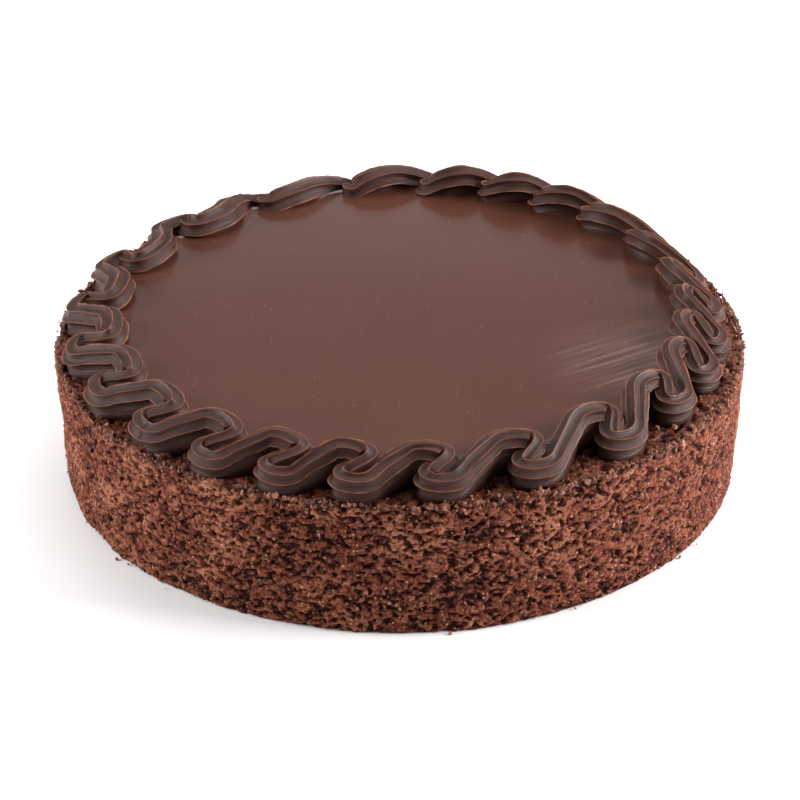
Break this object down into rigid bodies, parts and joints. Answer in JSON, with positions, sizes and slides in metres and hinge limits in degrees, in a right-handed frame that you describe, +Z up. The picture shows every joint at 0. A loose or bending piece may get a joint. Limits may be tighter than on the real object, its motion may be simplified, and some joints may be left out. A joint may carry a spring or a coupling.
{
  "type": "chocolate cake",
  "caption": "Whole round chocolate cake with a bare porous sponge side, a smooth poured ganache top and a piped wave border of ganache round the edge.",
  "frame": {"origin": "centre of the flat underside, on the surface that the cake stands on", "axes": "+Z up out of the glazed top; -Y is the side that faces the camera in the reference picture; +X is to the right in it"},
  "size_m": [0.2407, 0.2402, 0.067],
  "materials": {
    "sponge": "dry, torn, porous chocolate crumb",
    "border": "satin piped ganache with fine lengthwise lines",
    "glaze": "smooth poured ganache with a soft gloss"
  },
  "bodies": {
    "root": {"sponge": "sponge", "border": "border", "glaze": "glaze"}
  },
  "joints": []
}
